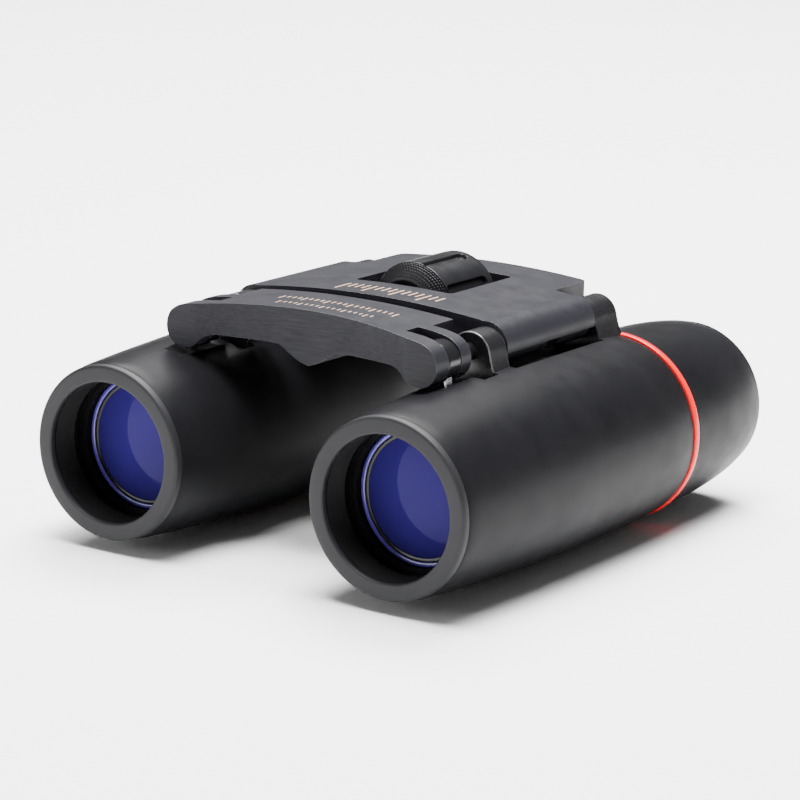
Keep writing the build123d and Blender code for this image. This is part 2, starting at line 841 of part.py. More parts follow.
def focus_wheel():
    """Wheel core on the shaft, and a grip sleeve with long rounded slots round it."""
    with BuildPart() as core:
        with BuildSketch(focus_section()):
            with BuildLine():
                Polyline(
                    (shaft_r + 0.02, 46.6),
                    (7.2, 46.6),
                    (7.2, 60.1),
                    (6.6, 60.4),
                    (3.4, 60.4),
                    (3.4, 61.3),
                    (shaft_r + 0.02, 61.3),
                    close=True,
                )
            make_face()
        revolve(axis=focus_axis())
    save(core, "focus_wheel")

    middle = sum(wheel_span) / 2 - 1.0
    with BuildPart() as grip:
        with BuildSketch(focus_section()):
            with BuildLine():
                Polyline(
                    (7.24, wheel_span[0]),
                    (wheel_r, wheel_span[0]),
                    (wheel_r, wheel_span[1]),
                    (7.24, wheel_span[1]),
                    close=True,
                )
            make_face()
        revolve(axis=focus_axis())
        outer = grip.edges().filter_by(GeomType.CIRCLE).sort_by(SortBy.RADIUS)[-2:]
        fillet(outer, 0.3)
        for i in range(wheel_slots):
            turn = radians(16 + i * 360 / wheel_slots)
            slot_plane = Plane(
                origin=(0, front_y + middle, focus_z),
                x_dir=(0, 1, 0),
                z_dir=(sin(turn), 0, cos(turn)),
            )
            with BuildSketch(slot_plane):
                SlotOverall(wheel_slot_length - 0.8, wheel_slot_width)
            extrude(amount=9, mode=Mode.SUBTRACT)
    save(grip, "focus_grip")


def focus_disc():
    """Front end of the wheel: a shallow dome of fine concentric steps."""
    steps = 6
    rear_r = 7.75
    front_r = 5.6
    depth = 2.3
    outline = [(shaft_r + 0.02, 46.45), (rear_r, 46.45)]
    for i in range(steps):
        near = (i + 0.7) / steps
        far = (i + 1.0) / steps
        s = 46.45 - depth * near
        outline.append((rear_r - (rear_r - front_r) * (i / steps) ** 1.6, s))
        outline.append((rear_r - 0.35 - (rear_r - front_r) * (i / steps) ** 1.6, s))
        s = 46.45 - depth * far
        outline.append((rear_r - 0.35 - (rear_r - front_r) * (i / steps) ** 1.6, s))
    outline.append((shaft_r + 0.02, 46.45 - depth))
    with BuildPart() as disc:
        with BuildSketch(focus_section()):
            with BuildLine():
                Polyline(*outline, close=True)
            make_face()
        revolve(axis=focus_axis())
    save(disc, "focus_disc")


def thrust_washers():
    """Thin washers between the wheel and the two ends of its window."""
    with BuildPart() as washers:
        for rear in (43.85, 61.75):
            with Locations(on_focus_axis(rear)):
                rod_like(3.0, rear - 0.4, rear)
                rod_like(shaft_r + 0.06, rear - 0.4, rear, Mode.SUBTRACT)
    save(washers, "thrust_washers")


os.makedirs("parts", exist_ok=True)
save(barrel(False), "barrel_left")
save_mirrored(barrel(True), "barrel_right")
rim_ring()
objective_cell()
objective_optics()
drive_arm()
drive_pin()
prism_cage()
prisms()
prism_spring()
eyepieces()
rear_bridge()
cover_plate()
plate_screws()
hinge_rods()
front_bridge()
focus_screw()
focus_wheel()
focus_disc()
thrust_washers()
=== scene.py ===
import json
from math import atan2, cos, pi, radians, sin, sqrt

import bmesh
import bpy
from mathutils import Matrix, Vector


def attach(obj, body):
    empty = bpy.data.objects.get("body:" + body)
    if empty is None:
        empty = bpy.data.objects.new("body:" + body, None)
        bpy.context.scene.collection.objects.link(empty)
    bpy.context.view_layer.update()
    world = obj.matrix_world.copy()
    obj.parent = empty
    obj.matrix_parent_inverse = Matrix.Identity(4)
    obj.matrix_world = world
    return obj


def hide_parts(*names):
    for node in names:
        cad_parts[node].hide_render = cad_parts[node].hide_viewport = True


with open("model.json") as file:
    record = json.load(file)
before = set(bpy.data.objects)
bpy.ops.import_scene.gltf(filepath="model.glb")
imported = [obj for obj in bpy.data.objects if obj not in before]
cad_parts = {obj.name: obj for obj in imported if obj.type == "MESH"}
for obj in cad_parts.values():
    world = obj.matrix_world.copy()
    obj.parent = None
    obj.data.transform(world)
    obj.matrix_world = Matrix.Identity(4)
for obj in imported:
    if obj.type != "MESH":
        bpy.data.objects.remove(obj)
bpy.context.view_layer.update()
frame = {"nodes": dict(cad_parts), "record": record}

# Places in metres; FRONT_Y is the plane of the front rims. Later sizes are in mm unless they say so.
MM = 0.001
FRONT_Y = -0.0475
BARREL_X, BARREL_Z = 0.0269, 0.0162
HINGE_X, HINGE_Z = 0.0228, 0.035
FOCUS_Z = 0.0358
LEFT, RIGHT = 1, -1
SIDE_NAME = {LEFT: "left", RIGHT: "right"}


# ---- camera, floor and light ----
AZIMUTH, ELEVATION, ROLL = radians(34.27), radians(13.51), radians(1.12)
CAMERA_TARGET = Vector((0.02743, FRONT_Y, 0.03266))
CAMERA_DISTANCE = 0.4588
CAMERA_LENS, SENSOR_WIDTH = 139.36, 36
CAMERA_SHIFT = (0.013075, 0.00455)
FLOOR_HALF, FLOOR_DROP = 6, 0.0002
WORLD_STRENGTH = 0.2
SOFTBOXES = (  # name, place, aim, size and power in watts
    ("top_softbox", (0.05, -0.05, 0.8), (0, 0, 0), (0.5, 0.4), 26.0),
    ("rear_softbox", (-0.35, 0.65, 1.1), (-0.35, 0.6, 0), (1.1, 0.6), 60.0),
    ("front_left_softbox", (-0.5, -0.8, 0.25), (0, 0, 0.02), (0.4, 0.4), 3.5),
)


def look(azimuth, elevation, roll):
    """Directions of the camera: right, up and back."""
    back = Vector((sin(azimuth) * cos(elevation), -cos(azimuth) * cos(elevation), sin(elevation)))
    right = Vector((cos(azimuth), sin(azimuth), 0))
    up = back.cross(right)
    turned_right = right * cos(roll) + up * sin(roll)
    turned_up = up * cos(roll) - right * sin(roll)
    return turned_right, turned_up, back


def camera():
    right, up, back = look(AZIMUTH, ELEVATION, ROLL)
    data = bpy.data.cameras.new("photo_camera")
    data.sensor_width = SENSOR_WIDTH
    data.lens = CAMERA_LENS
    data.shift_x, data.shift_y = CAMERA_SHIFT
    data.clip_start, data.clip_end = 0.02, 20
    cam = bpy.data.objects.new("photo_camera", data)
    place = CAMERA_TARGET + back * CAMERA_DISTANCE
    cam.matrix_world = Matrix((
        (right.x, up.x, back.x, place.x),
        (right.y, up.y, back.y, place.y),
        (right.z, up.z, back.z, place.z),
        (0, 0, 0, 1),
    ))
    bpy.context.scene.collection.objects.link(cam)
    bpy.context.scene.camera = cam


def soft_light(name, place, aim, size, power):
    data = bpy.data.lights.new(name, "AREA")
    data.shape = "RECTANGLE"
    data.size, data.size_y = size
    data.energy = power
    lamp = bpy.data.objects.new(name, data)
    lamp.location = place
    lamp.rotation_mode = "QUATERNION"
    lamp.rotation_quaternion = (Vector(aim) - Vector(place)).to_track_quat("-Z", "Y")
    bpy.context.scene.collection.objects.link(lamp)


def studio():
    """Plain pale floor, even surrounding light and the softboxes."""
    mesh = bpy.data.meshes.new("floor")
    half = FLOOR_HALF
    corners = [(-half, -half, 0), (half, -half, 0), (half, half, 0), (-half, half, 0)]
    mesh.from_pydata(corners, [], [(0, 1, 2, 3)])
    floor = bpy.data.objects.new("floor", mesh)
    floor.location.z = -FLOOR_DROP
    bpy.context.scene.collection.objects.link(floor)
    paint = bpy.data.materials.new("pale_floor")
    paint.use_nodes = True
    shader = paint.node_tree.nodes["Principled BSDF"]
    shader.inputs["Base Color"].default_value = (0.92, 0.92, 0.92, 1)
    shader.inputs["Roughness"].default_value = 0.9
    shader.inputs["Specular IOR Level"].default_value = 0.0
    mesh.materials.append(paint)
    world = bpy.data.worlds.new("studio")
    world.use_nodes = True
    background = world.node_tree.nodes["Background"]
    background.inputs["Color"].default_value = (1, 1, 1, 1)
    background.inputs["Strength"].default_value = WORLD_STRENGTH
    bpy.context.scene.world = world
    for softbox in SOFTBOXES:
        soft_light(*softbox)


# ---- materials ----
class Paint:
    """Node material built step by step on the object's own coordinates."""

    def __init__(self, name, **sockets):
        self.mat = bpy.data.materials.new(name)
        self.mat.use_nodes = True
        self.nodes = self.mat.node_tree.nodes
        self.links = self.mat.node_tree.links
        self.shader = self.nodes["Principled BSDF"]
        for key, value in sockets.items():
            self.shader.inputs[key.replace("_", " ")].default_value = value
        self.coords = self.nodes.new("ShaderNodeTexCoord").outputs["Object"]

    def noise(self, scale, detail=4, stretch=(1, 1, 1)):
        place = self.nodes.new("ShaderNodeMapping")
        place.inputs["Scale"].default_value = stretch
        self.links.new(self.coords, place.inputs["Vector"])
        node = self.nodes.new("ShaderNodeTexNoise")
        node.inputs["Scale"].default_value = scale
        node.inputs["Detail"].default_value = detail
        self.links.new(place.outputs["Vector"], node.inputs["Vector"])
        return node.outputs["Fac"]

    def remap(self, value, low, high, out_low, out_high):
        node = self.nodes.new("ShaderNodeMapRange")
        node.inputs["From Min"].default_value = low
        node.inputs["From Max"].default_value = high
        node.inputs["To Min"].default_value = out_low
        node.inputs["To Max"].default_value = out_high
        self.links.new(value, node.inputs["Value"])
        return node.outputs["Result"]

    def colours(self, value, *stops):
        node = self.nodes.new("ShaderNodeValToRGB")
        ramp = node.color_ramp
        while len(ramp.elements) < len(stops):
            ramp.elements.new(0.5)
        for element, (place, colour) in zip(ramp.elements, stops):
            element.position = place
            element.color = (*colour, 1)
        self.links.new(value, node.inputs["Fac"])
        return node.outputs["Color"]

    def bump(self, height, strength, distance):
        """Adds a bump on top of any bump already fed to the shader."""
        node = self.nodes.new("ShaderNodeBump")
        node.inputs["Strength"].default_value = strength
        node.inputs["Distance"].default_value = distance
        self.links.new(height, node.inputs["Height"])
        normal = self.shader.inputs["Normal"]
        if normal.links:
            self.links.new(normal.links[0].from_socket, node.inputs["Normal"])
        self.links.new(node.outputs["Normal"], normal)

    def feed(self, value, socket):
        self.links.new(value, self.shader.inputs[socket])

def moulded(name, dark, light, rough, grain, grain_depth, cloud=60, **sockets):
    """Moulded or coated plastic: cloudy tone, uneven gloss and a fine pebbled grain."""
    paint = Paint(name, **sockets)
    paint.feed(paint.colours(paint.noise(cloud, 3), (0.3, dark), (0.7, light)), "Base Color")
    paint.feed(paint.remap(paint.noise(cloud * 4, 5), 0.3, 0.7, *rough), "Roughness")
    paint.bump(paint.noise(grain, 2), 0.35, grain_depth)
    return paint


def soft_touch():
    paint = moulded("soft_touch_coat", (0.0055, 0.0055, 0.0064), (0.0085, 0.0085, 0.0098), (0.34, 0.44),
                    5200, 0.00002, Specular_IOR_Level=0.055)
    specks = paint.noise(9000, 1)
    paint.bump(paint.remap(specks, 0.62, 0.72, 0, 1), 0.25, 0.00002)
    return paint.mat


def rim_plastic():
    return moulded("rim_plastic", (0.011, 0.011, 0.0125), (0.0155, 0.0155, 0.0175), (0.42, 0.52),
                   4200, 0.00002, Specular_IOR_Level=0.17).mat


def bridge_plastic():
    """Coated bridge with fine streaks along X, in tone and in relief."""
    paint = Paint("bridge_plastic", Specular_IOR_Level=0.13)
    streaks = paint.noise(5200, 3, (0.035, 1, 1))
    tone = paint.colours(streaks, (0.32, (0.0095, 0.0095, 0.012)), (0.68, (0.0185, 0.0185, 0.023)))
    paint.feed(tone, "Base Color")
    paint.feed(paint.remap(paint.noise(240, 5), 0.3, 0.7, 0.36, 0.46), "Roughness")
    paint.bump(paint.noise(6500, 2), 0.35, 0.000012)
    paint.bump(streaks, 0.25, 0.000012)
    return paint.mat


def gloss_black():
    return moulded("gloss_black_plastic", (0.004, 0.004, 0.0046), (0.007, 0.007, 0.008), (0.16, 0.28),
                   3500, 0.00001, Specular_IOR_Level=0.3).mat


def lug_gloss():
    """Glossy black moulding of the hinge lugs."""
    paint = Paint("lug_gloss", Specular_IOR_Level=0.4)
    tone = paint.colours(paint.noise(60, 3), (0.3, (0.006, 0.006, 0.007)), (0.7, (0.01, 0.01, 0.0115)))
    paint.feed(tone, "Base Color")
    paint.feed(paint.remap(paint.noise(300, 4), 0.3, 0.7, 0.2, 0.3), "Roughness")
    paint.bump(paint.noise(3500, 2), 0.3, 0.00001)
    return paint.mat


def edge_wear_and_highlight():
    """Brighter rounding of the lug edges: partly wear where they are rubbed, partly a painted highlight along
    the edges.
    """
    return moulded("edge_wear_and_highlight", (0.05, 0.05, 0.052), (0.11, 0.11, 0.112), (0.16, 0.26),
                   3500, 0.000008, cloud=400, Specular_IOR_Level=0.8).mat


def shell_edge_highlight():
    """Slightly brighter rounding of the bridge mouldings: a painted highlight along their edges."""
    return moulded("shell_edge_highlight", (0.03, 0.03, 0.035), (0.05, 0.05, 0.056), (0.24, 0.34),
                   3500, 0.000008, cloud=400, Specular_IOR_Level=0.5).mat


def matte_black():
    return moulded("matte_black_plastic", (0.002, 0.002, 0.0024), (0.0042, 0.0042, 0.0048), (0.5, 0.62),
                   3500, 0.00002, Specular_IOR_Level=0.1).mat


def wheel_rubber():
    return moulded("wheel_rubber", (0.005, 0.005, 0.0062), (0.009, 0.009, 0.0108), (0.28, 0.4),
                   5200, 0.000015, Specular_IOR_Level=0.16).mat


def red_gloss():
    return moulded("red_trim", (0.62, 0.006, 0.008), (0.74, 0.01, 0.012), (0.22, 0.32),
                   3000, 0.000006, Specular_IOR_Level=0.3).mat


def metal(name, dark, light, rough):
    """Turned or drawn metal with fine marks round or along the piece."""
    paint = Paint(name, Metallic=1.0)
    streaks = paint.noise(2500, 4, (1, 0.04, 1))
    paint.feed(paint.colours(streaks, (0.3, dark), (0.7, light)), "Base Color")
    paint.feed(paint.remap(paint.noise(800, 4), 0.3, 0.7, *rough), "Roughness")
    paint.bump(streaks, 0.2, 0.00001)
    return paint.mat


def clear_glass():
    paint = Paint("optical_glass", IOR=1.52, Transmission_Weight=1.0)
    dust = paint.noise(700, 5)
    paint.feed(paint.remap(dust, 0.5, 0.8, 0.0, 0.12), "Roughness")
    tint = paint.colours(paint.noise(40, 2), (0.3, (0.93, 0.96, 0.97)), (0.7, (0.97, 0.99, 1.0)))
    paint.feed(tint, "Base Color")
    return paint.mat


def bevel_glass():
    """Ground edge of the coated lens, a paler violet with a polished surface."""
    return moulded("coated_bevel", (0.05, 0.035, 0.22), (0.07, 0.05, 0.3), (0.08, 0.16),
                   3000, 0.000004, Specular_IOR_Level=0.7).mat


def coated_glass():
    """Opaque lens with a blue-violet coating and a tinted reflection."""
    paint = Paint("coated_glass", IOR=1.6, Specular_IOR_Level=0.07, Specular_Tint=(0.55, 0.5, 1.0, 1))
    tone = paint.colours(paint.noise(45, 2), (0.3, (0.015, 0.009, 0.085)), (0.7, (0.021, 0.013, 0.115)))
    paint.feed(tone, "Base Color")
    paint.feed(paint.remap(paint.noise(900, 4), 0.4, 0.8, 0.03, 0.09), "Roughness")
    return paint.mat


def copper_print():
    return moulded("copper_print", (0.36, 0.22, 0.15), (0.46, 0.3, 0.21), (0.4, 0.5), 3000, 0.000005).mat


# ---- mesh helpers ----
def spread(start, end, steps):
    """Evenly spaced values from start to end, both included."""
    return [start + (end - start) * k / steps for k in range(steps + 1)]


def rounded(corners, steps=5):
    """Closed outline of (a, b, radius) corners, each rounded with its radius."""
    points = []
    count = len(corners)
    for i, (a, b, radius) in enumerate(corners):
        here = Vector((a, b))
        before = Vector(corners[i - 1][:2]) - here
        after = Vector(corners[(i + 1) % count][:2]) - here
        if radius <= 0:
            points.append((a, b))
            continue
        angle = before.angle(after)
        if angle > pi - 0.05:
            points.append((a, b))
            continue
        half_tangent = max(abs(sin(angle / 2) / cos(angle / 2)), 1e-6)
        back_off = min(radius / half_tangent, before.length * 0.49, after.length * 0.49)
        start = here + before.normalized() * back_off
        end = here + after.normalized() * back_off
        for k in range(steps + 1):
            t = k / steps
            p = start * (1 - t) ** 2 + here * 2 * t * (1 - t) + end * t**2
            points.append((p.x, p.y))
    return points


def new_object(name, bm, material, sharp=40):
    bmesh.ops.recalc_face_normals(bm, faces=bm.faces)
    mesh = bpy.data.meshes.new(name)
    bm.to_mesh(mesh)
    bm.free()
    for polygon in mesh.polygons:
        polygon.use_smooth = True
    mesh.set_sharp_from_angle(angle=radians(sharp))
    obj = bpy.data.objects.new(name, mesh)
    mesh.materials.append(material)
    bpy.context.scene.collection.objects.link(obj)
    return obj


def lathe(bm, outline, axis, shape=None, segments=160, side=1, angles=None):
    """Adds a ring body turned round an axis parallel to Y.

    outline is closed, in (radius, distance behind the rim) mm. shape(angle, radius, distance)
    may move a point; angles run from straight up towards the outboard side.
    """
    x, z = axis
    angles = angles or [2 * pi * k / segments for k in range(segments)]
    rings = []
    for angle in angles:
        ring = []
        for r, s in outline:
            nr, ns = shape(angle, r, s) if shape else (r, s)
            place = (side * (x + nr * MM * sin(angle)), FRONT_Y + ns * MM, z + nr * MM * cos(angle))
            ring.append(bm.verts.new(place))
        rings.append(ring)
    count = len(outline)
    for k, near in enumerate(rings):
        far = rings[(k + 1) % len(rings)]
        for i in range(count):
            j = (i + 1) % count
            bm.faces.new((near[i], near[j], far[j], far[i]))


def disc_lathe(bm, outline, axis, side):
    """Turned solid whose outline starts and ends on the axis."""
    segments = 128
    x, z = axis
    first = bm.verts.new((side * x, FRONT_Y + outline[0][1] * MM, z))
    last = bm.verts.new((side * x, FRONT_Y + outline[-1][1] * MM, z))
    rings = []
    for k in range(segments):
        a = 2 * pi * k / segments
        rings.append([bm.verts.new((side * (x + r * MM * sin(a)), FRONT_Y + s * MM, z + r * MM * cos(a)))
                      for r, s in outline[1:-1]])
    for k in range(segments):
        near, far = rings[k], rings[(k + 1) % segments]
        bm.faces.new((first, near[0], far[0]))
        bm.faces.new((last, far[-1], near[-1]))
        for i in range(len(near) - 1):
            bm.faces.new((near[i], near[i + 1], far[i + 1], far[i]))


def prism(name, near, far, material):
    """Solid between two outlines with matching points, in metres."""
    bm = bmesh.new()
    first = [bm.verts.new(point) for point in near]
    second = [bm.verts.new(point) for point in far]
    bm.faces.new(first)
    bm.faces.new(list(reversed(second)))
    count = len(first)
    for i in range(count):
        j = (i + 1) % count
        bm.faces.new((first[i], first[j], second[j], second[i]))
    return new_object(name, bm, material)


def extruded(name, outline, start, end, material, side=1):
    """Prism from an outline in X and Z (mm), between two distances behind the rim."""
    front, rear = ([(side * x * MM, FRONT_Y + s * MM, z * MM) for x, z in outline] for s in (start, end))
    return prism(name, front, rear, material)


def standing(name, outline, low, high, material):
    """Prism from an outline in X and distance behind the rim (mm), between two heights."""
    bottom, top = ([(x * MM, FRONT_Y + s * MM, z * MM) for x, s in outline] for z in (low, high))
    return prism(name, bottom, top, material)


def combine(base, other, operation):
    """Boolean of two objects, kept in the first; the second is deleted."""
    modifier = base.modifiers.new("cut", "BOOLEAN")
    modifier.operation = operation
    modifier.object = other
    modifier.solver = "EXACT"
    graph = bpy.context.evaluated_depsgraph_get()
    mesh = bpy.data.meshes.new_from_object(base.evaluated_get(graph))
    base.modifiers.clear()
    base.data = mesh
    bpy.data.objects.remove(other)


def soften(obj, edge_highlight_paint):
    """Rounds every sharp edge in its own brighter paint, a painted highlight on the rounding, and keeps flat
    faces flat.
    """
    obj.data.materials.append(edge_highlight_paint)
    bevel = obj.modifiers.new("edge_rounding", "BEVEL")
    bevel.material = len(obj.data.materials) - 1
    bevel.width = EDGE_ROUNDING * MM
    bevel.segments = 3
    bevel.limit_method = "ANGLE"
    bevel.angle_limit = radians(30)
    bevel.harden_normals = True
    for polygon in obj.data.polygons:
        polygon.use_smooth = True


def arc(cx, cz, radius, start, end, steps):
    """Points on an arc, angles in degrees from +X towards +Z."""
    turn = [radians(start + (end - start) * k / steps) for k in range(steps + 1)]
    return [(cx + radius * cos(a), cz + radius * sin(a)) for a in turn]


# ---- shapes shared with the CAD design, in mm ----
HINGE_GAP = sqrt((BARREL_X - HINGE_X) ** 2 + (HINGE_Z - BARREL_Z) ** 2) / MM
LEAN = atan2(BARREL_X - HINGE_X, HINGE_Z - BARREL_Z)
ARCH_TOP, ARCH_SHOULDER, ARCH_HALF = 40.35, 38.968, 22.3
ARCH_R = (ARCH_HALF**2 + (ARCH_TOP - ARCH_SHOULDER) ** 2) / (2 * (ARCH_TOP - ARCH_SHOULDER))
BARREL_R, BARREL_BORE_R, BARREL_END = 16.2, 12.6, 66.7
FULL_SPAN = (36, 56)
NOSE_DROP, NOSE_LENGTH, NOSE_CURVE = 1.6, 32.94, 1.58
TAIL_DROP, TAIL_LENGTH = 0.5, 10.7
FRONT_LUG = (28.5, 33.4)
REAR_LUG = (60.4, 67.4)
LUG_R, LUG_OUT, LUG_DROP = 3.65, 0.15, 0.45
FRONT_FOOT_OUT, REAR_FOOT_OUT = 4.4, 5.0
OVERHANG_R = 15.98
CHANNEL_R, FRONT_CHANNEL_R, CHANNEL_FLOOR = 6.3, 4.4, 13.9
CHANNEL_START, FRONT_CHANNEL_END = 12.7, 24.5
SKIN_R = 13.8
MOUTH_R = 11.5
SHAFT_BORE_R, ROD_BORE_R = 1.55, 1.52
WHEEL_R, WHEEL_SLEEVE_BORE_R = 7.9, 7.24
EDGE_ROUNDING = 0.2


def arch(x):
    return ARCH_TOP - ARCH_R + sqrt(ARCH_R**2 - x**2)


def smooth_line(knots, steps):
    """Catmull-Rom curve through knots given as pairs."""
    ends = [knots[0], *knots, knots[-1]]
    points = []
    for i in range(1, len(ends) - 2):
        a, b, c, d = (Vector(p) for p in ends[i - 1:i + 3])
        for k in range(steps):
            t = k / steps
            bend, twist = 2 * a - 5 * b + 4 * c - d, 3 * b - a - 3 * c + d
            p = 0.5 * (2 * b + (c - a) * t + bend * t**2 + twist * t**3)
            points.append((p.x, p.y))
    points.append(tuple(knots[-1]))
    return points


def barrel_radius(s):
    """Outer radius of a barrel, narrowing to both ends."""
    if s < FULL_SPAN[0]:
        return BARREL_R - NOSE_DROP * ((FULL_SPAN[0] - s) / NOSE_LENGTH) ** NOSE_CURVE
    if s > FULL_SPAN[1]:
        return BARREL_R - TAIL_DROP * ((s - FULL_SPAN[1]) / TAIL_LENGTH) ** 2
    return BARREL_R


def channel(angle, r, s):
    """Cuts the barrel back where the bridges pass over it as it swings on its hinge."""
    off = (angle + LEAN + pi) % (2 * pi) - pi
    across = HINGE_GAP * sin(off)
    reach = FRONT_CHANNEL_R if s < FRONT_CHANNEL_END else CHANNEL_R
    along = CHANNEL_START < s < REAR_LUG[0] and not FRONT_LUG[0] < s < FRONT_LUG[1]
    if r < SKIN_R or not along or abs(across) >= reach or abs(off) > 1:
        return r, s
    floor = CHANNEL_FLOOR / cos(off)
    return min(r, max(floor, HINGE_GAP * cos(off) - sqrt(reach**2 - across**2))), s


def dense_angles():
    """Angles round a barrel, close together under the hinge."""
    fine = [-LEAN + radians(-21 + 0.4 * k) for k in range(106)]
    rest = [-LEAN + radians(21.4 + (360 - 43) * k / 136) for k in range(1, 137)]
    return fine + rest[:-1]


def barrel_skin(side, material):
    """Barrel shell with its neck, the channel under the bridges and the slot for the drive pin."""
    nick = 0.01
    stations = spread(3.4, CHANNEL_START - nick, 15)
    stations += spread(CHANNEL_START + nick, FRONT_CHANNEL_END - nick, 19)
    stations += [FRONT_CHANNEL_END + nick, 25.5, 26.5, 27.5, FRONT_LUG[0] - nick, FRONT_LUG[0] + nick, 31]
    stations += [FRONT_LUG[1] - nick, FRONT_LUG[1] + nick, *spread(34, 60, 30)]
    stations += [REAR_LUG[0] - nick, REAR_LUG[0] + nick, 62, 64, 66.2]
    neck_end, neck_bore_r, bore_end = 80.0, 11.0, 61.5
    outline = [(14.0, 1.34), (14.22, 1.38), (14.34, 1.6), (14.45, 2.1), (14.54, 2.7)]
    outline += [(barrel_radius(s), s) for s in stations]
    outline += [(15.68, 66.55), (15.5, BARREL_END), (BARREL_BORE_R, 66.72)]
    outline += [(BARREL_BORE_R, neck_end), (neck_bore_r, neck_end), (neck_bore_r, bore_end)]
    outline += [(BARREL_BORE_R, bore_end), (BARREL_BORE_R, 1.34)]
    bm = bmesh.new()
    lathe(bm, outline, (BARREL_X, BARREL_Z), channel, side=side, angles=dense_angles())
    skin = new_object("barrel_skin_" + SIDE_NAME[side], bm, material)
    combine(skin, slot_cutter(side, material), "DIFFERENCE")
    return skin


def along_barrel(u, w):
    """Point (mm, X and Z) u outboard of the line from barrel axis to hinge and w along it."""
    return (BARREL_X / MM + u * cos(LEAN) - w * sin(LEAN), BARREL_Z / MM + u * sin(LEAN) + w * cos(LEAN))


def slot_cutter(side, material):
    """Slot that the drive pin passes through, just outboard of the hinge line."""
    outline = [along_barrel(u, w) for u, w in ((0.2, 11.6), (2.4, 11.6), (2.4, 17), (0.2, 17))]
    return extruded("pin_slot", outline, 17.05, 23.25, material, side)


def lug(name, base_out, span, side, material, edge_highlight_paint):
    """Hinge eye on a foot that flares outboard, its edges rounded and painted brighter: partly wear, partly a
    painted highlight.
    """
    mid = HINGE_GAP - LUG_DROP
    buried, toe_height, bend_height = 13.4, 13.95, 15.2
    turn = [pi - k * pi / 40 for k in range(41)]
    eye = [(LUG_OUT + LUG_R * cos(a), mid + LUG_R * sin(a)) for a in turn]
    leave = Vector(eye[-1])
    foot, bend = Vector((base_out, toe_height)), Vector((leave.x + 0.02, bend_height))
    steps = [k / 12 for k in range(1, 13)]
    flare = [tuple(leave * (1 - t) ** 2 + bend * 2 * t * (1 - t) + foot * t * t) for t in steps]
    outline = [along_barrel(u, w) for u, w in [(eye[0][0], buried), *eye, *flare, (base_out, buried)]]
    obj = extruded(name, outline, *span, material, side)
    if span[1] > BARREL_END:
        ring = [(12.7, 66.72), (OVERHANG_R, 66.72), (OVERHANG_R, 69), (12.7, 69)]
        bm = bmesh.new()
        lathe(bm, ring, (BARREL_X, BARREL_Z), side=side)
        combine(obj, new_object("overhang", bm, material), "DIFFERENCE")
    soften(obj, edge_highlight_paint)
    return obj


def rim(side, material):
    """Front ring with rounded lips."""
    outline = rounded([(MOUTH_R, 0.9, 0), (MOUTH_R, 0.02, 0.5), (14.2, 0.02, 0.85), (14.36, 1.26, 0.12),
                       (11.9, 1.28, 0.0), (11.9, 0.9, 0.0)], 7)
    bm = bmesh.new()
    lathe(bm, outline, (BARREL_X, BARREL_Z), None, 200, side)
    return new_object("rim_" + SIDE_NAME[side], bm, material)


def mouth_thread(side, material):
    """Blackened inside of the mouth with its fine thread."""
    crest_r, root_r, pitch, turns = 11.52, 11.66, 0.42, 11
    outline = [(crest_r, 6.2), (crest_r, 5.9)]
    for k in range(turns):
        s = 5.8 - k * pitch
        outline += [(crest_r, s), (root_r, s - pitch * 0.3)]
        outline += [(root_r, s - pitch * 0.5), (crest_r, s - pitch * 0.8)]
    outline += [(crest_r, 0.92), (11.88, 0.92), (11.88, 3.1), (12.5, 3.1), (12.5, 6.2)]
    bm = bmesh.new()
    lathe(bm, outline, (BARREL_X, BARREL_Z), side=side)
    return new_object("mouth_thread_" + SIDE_NAME[side], bm, material)


def round_piece(name, corners, side, material):
    """Turned ring of one barrel, from rounded corners."""
    bm = bmesh.new()
    lathe(bm, rounded(corners), (BARREL_X, BARREL_Z), side=side)
    return new_object(name, bm, material)


def lens_piece(name, radius, front, rear, front_bulge, rear_bulge, side, material):
    """Lens with domed faces; a negative bulge is a hollow face."""
    steps = 24

    def dome(edge, bulge, sign):
        sphere = (radius**2 + bulge**2) / (2 * abs(bulge))
        flip = 1 if bulge > 0 else -1
        points = []
        for k in range(steps + 1):
            r = radius * k / steps
            lift = sphere - sqrt(sphere**2 - r**2)
            points.append((r, edge + sign * (bulge - flip * lift)))
        return points

    outline = dome(front, front_bulge, -1) + list(reversed(dome(rear, rear_bulge, 1)))
    bm = bmesh.new()
    disc_lathe(bm, outline, (BARREL_X, BARREL_Z), side)
    return new_object(name, bm, material)


def eyecup(side, start, material):
    """Soft cup: gentle taper, rounded lip and a funnel inside."""
    bore_r, lip_r, lip_mid = 12.66, 1.6, (11.75, 93.4)
    taper = smooth_line([(15.62, 68.4), (15.5, 74), (15.2, 81.3), (14.4, 88.6), (13.42, 93.6)], 10)
    outer = [point for point in taper if point[1] > start + 0.3]
    shoulder = outer[0][0]
    outline = [(bore_r, start), (shoulder - 0.25, start), (shoulder - 0.06, start + 0.1), *outer]
    turn = [radians(-2 + 184 * k / 20) for k in range(21)]
    outline += [(lip_mid[0] + lip_r * cos(a), lip_mid[1] + lip_r * sin(a)) for a in turn]
    outline += [(9.5, 90.5), (9.0, 86.2), (8.9, 85.6), (11.3, 85.6), (11.3, 80.2), (bore_r, 80.2)]
    bm = bmesh.new()
    lathe(bm, outline, (BARREL_X, BARREL_Z), side=side)
    return new_object("eyecup_skin_" + SIDE_NAME[side], bm, material)


